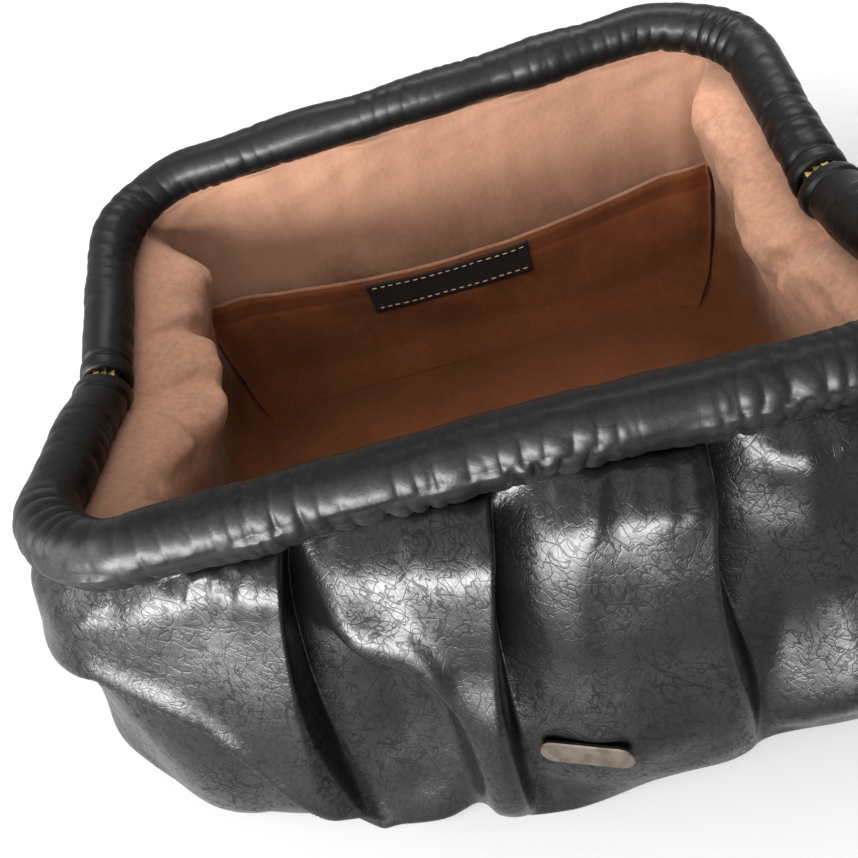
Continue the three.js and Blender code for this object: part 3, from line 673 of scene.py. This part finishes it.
# Rings and sides of a sleeve, and its ends: gap to the hinge axis, stretches over which the gathers start and
# the end turns upright, hem and stitched groove, rounded edge, and the lip that turns in
SLEEVE_RINGS, SLEEVE_SIDES = 760, 64
SLEEVE_END, SLEEVE_CALM, SLEEVE_UPRIGHT = 2.0, (4, 16), (0, 24)
HEM = {"height": 0.5, "edge": (5.5, 7.0), "groove": 0.7, "at": 7.4, "width": 1.1}
EDGE = {"length": 2.2, "depth": 1.7}
LIP = {"inset": 1.4, "reach": 16, "rows": 5}
# The raised seam where the panel is sewn on: height, and place and width as angles
SEAM_WELT = {"height": 0.9, "above": 0.16, "width": 0.14}


def gather_row(kind, s, slant, seed):
    """Puffs between sharp folds: the size of a sine of wandering pitch, filled out by a power."""
    wander = kind["wander"] * waves(s, 0 * s, *kind["waves"], seed + kind["seed"])
    turn = np.pi * (s / kind["pitch"] + wander + kind["slant"] * slant)
    return np.abs(np.sin(turn)) ** kind["sharp"] - kind["level"]


def sleeve_piece(name, half, seed):
    """Padded sleeve: a round section carried along the frame half, puffed between gathers of wandering pitch.
    The gathers are close on the bar and wide on the arms, deeper at the corners and near the seams,
    and both upright ends are hemmed and turn in over the hinge."""
    ends = SLEEVE_END / LOOP
    u = np.linspace(ends, 1 - ends, SLEEVE_RINGS)[:, None]
    angle = np.linspace(0, 2 * np.pi, SLEEVE_SIDES, endpoint=False)[None, :]
    x, reach, out_x, out_y = rail(u)
    s = from_middle(u)
    corner = bell(np.abs(s) - BAR / 2 - CORNER / 2, 34.0)
    arm = fade(reach, 40, 80)
    slant = 0.16 * waves(s, 9 * angle, 20, 60, 8, seed + 1)
    close, cross, wide = (
        gather_row(kind, s, slant, seed) for kind in (CLOSE_GATHERS, CROSS_GATHERS, WIDE_GATHERS))
    strength = np.clip(0.75 + 0.55 * waves(s, 14 * angle, 25, 80, 8, seed + 2), 0.1, 1.6)
    lower = smooth(-np.sin(angle), -0.8, 0.2) * smooth(np.cos(angle), -0.6, 0.2)
    inner = smooth(-np.cos(angle), -0.35, 0.6)
    on_bar = half["puckers"] + 1.15 * lower * (1 - corner) * (1 - arm)
    gather = on_bar * strength * (0.6 * close + 0.5 * cross)
    gather = gather + (0.08 + 0.6 * inner) * corner * strength * close
    gather = gather + (0.42 * arm + 0.12 * corner) * np.clip(strength, 0.3, 1.2) * wide
    soft = 0.32 * waves(s, 10 * angle, 22, 60, 10, seed + 3)
    from_seam = np.angle(np.exp(1j * (angle + PANEL_SEAM["below"] - SEAM_WELT["above"])))
    welt = SEAM_WELT["height"] * bell(from_seam, SEAM_WELT["width"])
    from_end = np.minimum(u - ends, 1 - ends - u) * LOOP
    groove = HEM["groove"] * bell(from_end - HEM["at"], HEM["width"])
    hem = HEM["height"] * fade(from_end, *HEM["edge"]) - groove
    inset = np.maximum(0, 1 - from_end / EDGE["length"])
    turned = EDGE["depth"] * (1 - np.sqrt(np.clip(1 - inset**2, 0, 1)))
    radius = half["sleeve"] + (gather + soft) * smooth(from_end, *SLEEVE_CALM) + welt + hem - turned
    tilt, side = half["tilt"], half["side"]
    upright = np.tan(tilt) * fade(from_end, *SLEEVE_UPRIGHT)

    def ring_points(r):
        """Circles of radius r round the middle line, in the tilted plane of the half."""
        out, rise = r * np.cos(angle), r * np.sin(angle)
        along = reach + rise * upright + out_y * out
        level = rise + middle_bow(half, s)
        py = side * (along * np.cos(tilt) - level * np.sin(tilt))
        pz = HINGE_HEIGHT + along * np.sin(tilt) + level * np.cos(tilt)
        return np.stack([x + out_x * out, py, pz], -1)

    lip = ring_points(radius - LIP["inset"])
    depth = np.linspace(0, LIP["reach"], LIP["rows"]).astype(int)[1:]
    points = np.concatenate([lip[depth[::-1]], ring_points(radius), lip[SLEEVE_RINGS - 1 - depth]])
    piece = grid_piece(name, points, around=True, flip=half is BACK)
    return piece


front_sleeve = sleeve_piece("front_sleeve", FRONT, FRONT_SLEEVE_SEED)
finish_piece(front_sleeve, SLEEVE_LEATHER, "black_leather", "sleeve_front")
back_sleeve = sleeve_piece("back_sleeve", BACK, BACK_SLEEVE_SEED)
finish_piece(back_sleeve, SLEEVE_LEATHER, "black_leather", "sleeve_back")


# Lining, pocket and label

# Notches that pinch the rolls: end of the bag, place along the arm from front to back, depth, lean
NOTCHES = [
    (-1, -14, 9, -60), (-1, 4, 7, 40), (-1, 32, 10, 50), (-1, 54, 5, -20),
    (1, -17, 10, 30), (1, 3, 3.5, -50), (1, 38, 5, -40),
]
NOTCH = {"row": 0.2, "rows": 0.17, "width": 5.5}
# The crease where the back wall meets the rolls: place and width along the loop, rows of its rise and fall
GROOVE = {"place": 122, "width": 6.0, "rise": (0.02, 0.1), "fall": (0.6, 0.95)}
LINING_HEIGHT = 110
# Smallest ring of the lining's floor and of the base, as a share of the outline
LAST_RING = 0.004


def lining_points(half, u, v, seed):
    """Lining surface: the loop shrinks towards the floor as it drops. Slack rolls inwards beside the arms,
    pinched by a few notches, the back wall meets the rolls in a crease, and creases fan out under the rim."""
    x, reach, out_x, out_y = rail(u)
    facing = out_y**2
    turning = 1 - facing
    s = from_middle(u)
    size = np.where(x < 0, ROLL_SIZE["left"], ROLL_SIZE["right"])
    size = size * (1 - half["roll_fall"] * smooth(reach, 0, ROLL_SIZE["reach"]))
    beside = smooth(turning, 0.3, 0.85)
    below = v - NOTCH["row"]
    along = half["side"] * reach
    pinch = sum(
        depth * bell(along - place - lean * below, NOTCH["width"]) * np.where(x * end > 0, 1.0, 0.0)
        for end, place, depth, lean in NOTCHES
    ) * bell(below, NOTCH["rows"])
    roll = size * spline(LINING_ROLL, v) * beside - pinch * beside
    fan = waves(s, 30 * v, 12, 30, 8, seed) * bell(v - 0.1, 0.14) * (0.7 + 0.5 * turning)
    slack = 1.7 * waves(s, LINING_HEIGHT * v, 40, 110, 8, seed + 1)
    slack = slack + 0.6 * waves(s, LINING_HEIGHT * v, 10, 26, 12, seed + 2)
    slack = slack * (0.35 + 0.65 * turning) * (1 - 0.7 * smooth(v, 0.25, 0.5))
    loose = (1.4 * fan + slack) * span(v, (0.0, 0.08), (0.75, 1))
    groove = half["groove"] * bell(np.abs(s) - GROOVE["place"], GROOVE["width"])
    groove = groove * span(v, GROOVE["rise"], GROOVE["fall"])
    start, top = seam_line(half, LINING_SEAM, reach)
    top = top + middle_bow(half, s)
    inward = start + roll + loose - groove
    px = (x - out_x * inward) * (1 - spline(LINING_ACROSS, v))
    py = (reach - out_y * inward) * (1 - spline(LINING_ALONG, v)) * np.cos(half["tilt"]) * half["side"]
    drop = spline(LINING_DROP, v)
    return np.stack([px, py, top * (1 - drop) + LINING_FLOOR * drop + 0 * px], -1)


def lining_ring(u_count, v):
    """The whole lining loop: the front half from left to right, then the back half from right to left."""
    u = np.linspace(0, 1, u_count, endpoint=False)
    front_half = lining_points(FRONT, *np.meshgrid(u, v), LINING_SEED)
    back_half = lining_points(BACK, *np.meshgrid(1 - u, v), LINING_SEED)
    return np.concatenate([front_half, back_half], axis=1)


def lining_piece():
    """Suede cup: the lining loop from rim to floor, then rings that shrink to the middle of the floor."""
    wall = lining_ring(190, np.linspace(0, 1, 90))
    middle = np.array([0, 0, LINING_FLOOR])
    shrink = np.linspace(1, LAST_RING, 24)[1:, None, None]
    floor = middle + (wall[-1:] - middle) * shrink
    ripple = 0.5 * (waves(floor[..., 0], floor[..., 1], 40, 110, 8, LINING_FLOOR_SEED) + 1)
    floor[..., 2] += ripple * smooth(-shrink[..., 0], -1, -0.7)
    points = np.concatenate([wall, floor])
    piece = grid_piece("suede_lining", points, around=True)
    return thicken(piece, SUEDE, -1)


finish_piece(lining_piece(), LINING_SUEDE, "brown_suede", "lining")


def pocket_wall(u, depth):
    """The back wall under the pocket at shares of the loop and of the pocket's depth, and the gap to it."""
    across = np.clip((u - POCKET["from"]) / (POCKET["to"] - POCKET["from"]), 0, 1)
    slack = np.sin(np.pi * across)
    v = (POCKET["top"] + POCKET["sag"] * slack) * (1 - depth) + POCKET["bottom"] * depth
    points = lining_points(BACK, u, v, LINING_SEED)
    mouth = POCKET["mouth"] * slack * (1 - depth) ** 1.5
    gap = POCKET["gap"] + mouth - POCKET["sunk"] * smooth(depth, 0.8, 1)
    return points, gap[..., None]


def pocket_points():
    """Slip pocket: a sheet before the lining's back wall, sewn at its sides and foot, slack at its folded
    top edge."""
    u, depth = np.meshgrid(np.linspace(POCKET["to"], POCKET["from"], 200), np.linspace(0, 1, 70))
    wall, gap = pocket_wall(u, depth)
    fold = 0.8 * bell(depth - 0.03, 0.035) - 0.5 * bell(depth - 0.13, 0.02)
    ease = 0.5 * waves(u * LOOP, depth * 60, 26, 70, 8, POCKET_SEED) * smooth(depth, 0, 0.2)
    return wall + grid_normals(wall) * (gap + fold[..., None] + ease[..., None])


pocket_grid = pocket_points()
pocket = thicken(grid_piece("slip_pocket", pocket_grid), SUEDE, 1)
finish_piece(pocket, POCKET_SUEDE, "brown_suede", "pocket")


def tube_piece(name, line, radius, sides=10):
    """Round piping: circles of a radius carried along a line of points, square to its direction, pinched shut
    at the ends."""
    ahead = unit(np.gradient(line, axis=0))
    side = unit(np.cross(ahead, (0, 0, 1.0)))
    turn = np.linspace(0, 2 * np.pi, sides, endpoint=False)[None, :, None]
    size = radius * np.concatenate([[0.02, 0.8], np.ones(len(line) - 4), [0.8, 0.02]])[:, None, None]
    ring = np.cos(turn) * side[:, None] + np.sin(turn) * np.cross(side, ahead)[:, None]
    return grid_piece(name, line[:, None] + size * ring, around=True)


# The piping lies over the middle of the pocket's thickness, a little above its edge.
PIPING_RADIUS, PIPING_RISE = 1.0, 0.35
piping_line = pocket_grid[0] + 0.5 * grid_normals(pocket_grid)[0] * SUEDE + [0, 0, PIPING_RISE]
finish_piece(tube_piece("pocket_piping", piping_line, PIPING_RADIUS), LINING_SUEDE, "brown_suede")


def label_piece():
    """Blank label on the pocket: a sheet that follows it, with its grid of points and their normals."""
    middle, half = 0.5 + LABEL["shift"] / LOOP, LABEL["half"] / LOOP
    columns = np.linspace(middle + half, middle - half, 90)
    u, depth = np.meshgrid(columns, np.linspace(LABEL["top"], LABEL["bottom"], 16))
    wall, gap = pocket_wall(u, depth)
    normal = grid_normals(wall)
    points = wall + normal * (gap + SUEDE + LABEL["lift"])
    cloth = np.stack([u * LOOP * MM, depth * POCKET["height"] * MM], -1)
    return thicken(grid_piece("woven_label", points, uv=cloth), LABEL["thick"], 1), points, normal


label, label_grid, label_normal = label_piece()
finish_piece(label, LABEL_BLACK, "black_label", "label")

# Stitches: half length as a share of their pitch, radius, lift off the label, rings, sides, count in a row,
# and share of the label's length that is left free at each end
STITCH = {"half": 0.3, "radius": 0.34, "lift": 0.05, "rings": 9, "sides": 8, "count": 19, "inset": 0.02}


def stitch_row(name, row):
    """Running stitch along a row of the label: a short fat thread for each stitch, sunk at both its ends."""
    count, rings, sides, inset = (STITCH[key] for key in ("count", "rings", "sides", "inset"))
    line = label_grid[row] + label_normal[row] * (LABEL["thick"] + STITCH["lift"])
    across = unit(np.gradient(label_grid, axis=0)[row])
    share = np.linspace(0, 1, len(line))
    along = np.linspace(-1, 1, rings)
    places = np.arange(count)[:, None] + 0.5 + STITCH["half"] * along[None, :]
    places = inset + (1 - 2 * inset) * places / count
    middle, up, side = (
        np.stack([np.interp(places, share, column) for column in rows.T], -1)[:, :, None]
        for rows in (line, label_normal[row], across))
    turn = np.linspace(0, 2 * np.pi, sides, endpoint=False)[:, None]
    thick = STITCH["radius"] * np.sqrt(np.clip(1 - along**4, 0.02, 1))[:, None, None]
    points = middle + thick * (np.cos(turn) * up + np.sin(turn) * side)
    number = np.arange(count * rings * sides).reshape(count, rings, sides)
    return mesh_piece(name, points.reshape(-1, 3), grid_quads(closed_loop(number, axis=2)))


finish_piece(stitch_row("lower_stitches", 13), THREAD, "black_label")
finish_piece(stitch_row("upper_stitches", 2), THREAD, "black_label")


# Base and ornament

# The base: share of the hem's outline that it fills, its dish and the share over which that rises
BASE = {"share": 0.985, "dish": 0.35, "rise": (0.0, 0.25)}


def base_piece():
    """Flat base inside the panels' hems: rings from the hem outline to the middle, very slightly dished."""
    u = np.linspace(0, 1, 120, endpoint=False)[None, :]
    still = [dict(pleat, reach=1e-6) for pleat in FRONT_PLEATS]
    hem = [
        panel_points(half, places, np.ones((1, 1)), still, no_folds, BASE_SEED)[0]
        for half, places in ((FRONT, u), (BACK, 1 - u))]
    outline = np.concatenate(hem) * BASE["share"]
    share = np.linspace(1, LAST_RING, 40)[:, None, None]
    rings = outline[None] * share
    rings[..., 2] = BASE["dish"] * smooth(1 - share[..., 0], *BASE["rise"])
    piece = grid_piece("base_panel", rings, around=True, flip=True)
    return thicken(piece, LEATHER, -1)


finish_piece(base_piece(), SLEEVE_LEATHER, "black_leather", "base")

METALS = dict.fromkeys(("frame_front", "frame_back", "hinge_pin_left", "hinge_pin_right"), BRASS)
METALS["ornament_plate"] = BRONZE
for node, metal in METALS.items():
    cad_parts[node].data.materials.clear()
    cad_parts[node].data.materials.append(metal)


# Camera, floor and light

# The photograph's frame in pixels, and the camera's place in metres and turns in degrees: yaw, pitch and roll
IMAGE, FOCAL_PIXELS = 858, 892.8
CAMERA_PLACE = (0.01874, -0.24064, 0.30172)
CAMERA_TURNS = [-10.24, 47.91, 22.49]
# Half width and level of the floor in metres, and its greys
FLOOR_HALF, FLOOR_LEVEL = 3.0, -0.0002
FLOOR_GREYS = (0.305, 0.305, 0.305), (0.32, 0.32, 0.32)
# Lights: place and target in metres, width and height, watts and spread in degrees
LIGHTS = {
    "window": ((-0.72, -1.46, 0.36), (0, -0.05, 0.06), (1.6, 0.5), 200, 180),
    "left_fill": ((-1.5, -0.2, 0.75), (0, 0, 0.06), (1.2, 0.9), 28, 180),
    "overhead": ((-0.2, -0.85, 1.5), (0, 0, 0.05), (1.8, 1.2), 14, 180),
    "back_fill": ((0.3, 0.95, 1.2), (0.28, 0.9, 0), (1.4, 0.9), 28, 75),
}
SKY = 0.75


def set_up(name, data, place, *axes):
    """An object of the set at a place, with its own three axes as columns."""
    matrix = np.eye(4)
    matrix[:3, :3] = np.stack(axes, 1)
    matrix[:3, 3] = place
    made = bpy.data.objects.new(name, data)
    made.matrix_world = Matrix(matrix.tolist())
    bpy.context.scene.collection.objects.link(made)
    return made


def photo_camera(yaw, pitch, roll):
    """Camera by its turns: yaw from +Y towards +X, pitch below level, roll in the picture."""
    data = bpy.data.cameras.new("camera")
    data.sensor_width = 36.0
    data.lens = FOCAL_PIXELS / IMAGE * data.sensor_width
    data.clip_start = 0.01
    forward = np.array([np.sin(yaw) * np.cos(pitch), np.cos(yaw) * np.cos(pitch), -np.sin(pitch)])
    level = np.array([np.cos(yaw), -np.sin(yaw), 0])
    down = np.cross(forward, level)
    right = np.cos(roll) * level + np.sin(roll) * down
    up = np.sin(roll) * level - np.cos(roll) * down
    return set_up("camera", data, CAMERA_PLACE, right, up, -forward)


def floor_piece():
    """Wide pale floor, a little below the bag's base."""
    corners = [(x * FLOOR_HALF, y * FLOOR_HALF, FLOOR_LEVEL) for x, y in ((-1, -1), (1, -1), (1, 1), (-1, 1))]
    floor = mesh_piece("floor", np.array(corners) / MM, np.array([[0, 1, 2, 3]]))
    f = Finish("pale_floor", Roughness=0.7, Specular_IOR_Level=0.2)
    grain = f.noise(f.place(), 6.0, 3.0)[0]
    floor.data.materials.append(f.surface_inputs(Base_Color=f.mix(grain, *FLOOR_GREYS)))
    return floor


def soft_light(name, place, target, size, power, spread):
    """Rectangular area light at a place, turned to a target, that spreads over an angle in degrees."""
    data = bpy.data.lights.new(name, "AREA")
    data.shape = "RECTANGLE"
    data.size, data.size_y = size
    data.energy = power
    data.spread = np.radians(spread)
    back = unit(np.subtract(place, target))
    right = unit(np.cross((0, 0, 1.0), back))
    set_up(name, data, place, right, np.cross(back, right), back)


bpy.context.scene.camera = photo_camera(*np.radians(CAMERA_TURNS))
floor_piece()
for name, settings in LIGHTS.items():
    soft_light(name, *settings)

world = bpy.data.worlds.new("studio")
world.use_nodes = True
world.node_tree.nodes["Background"].inputs["Color"].default_value = (1, 1, 1, 1)
world.node_tree.nodes["Background"].inputs["Strength"].default_value = SKY
bpy.context.scene.world = world
bpy.context.scene.view_settings.view_transform = "Standard"
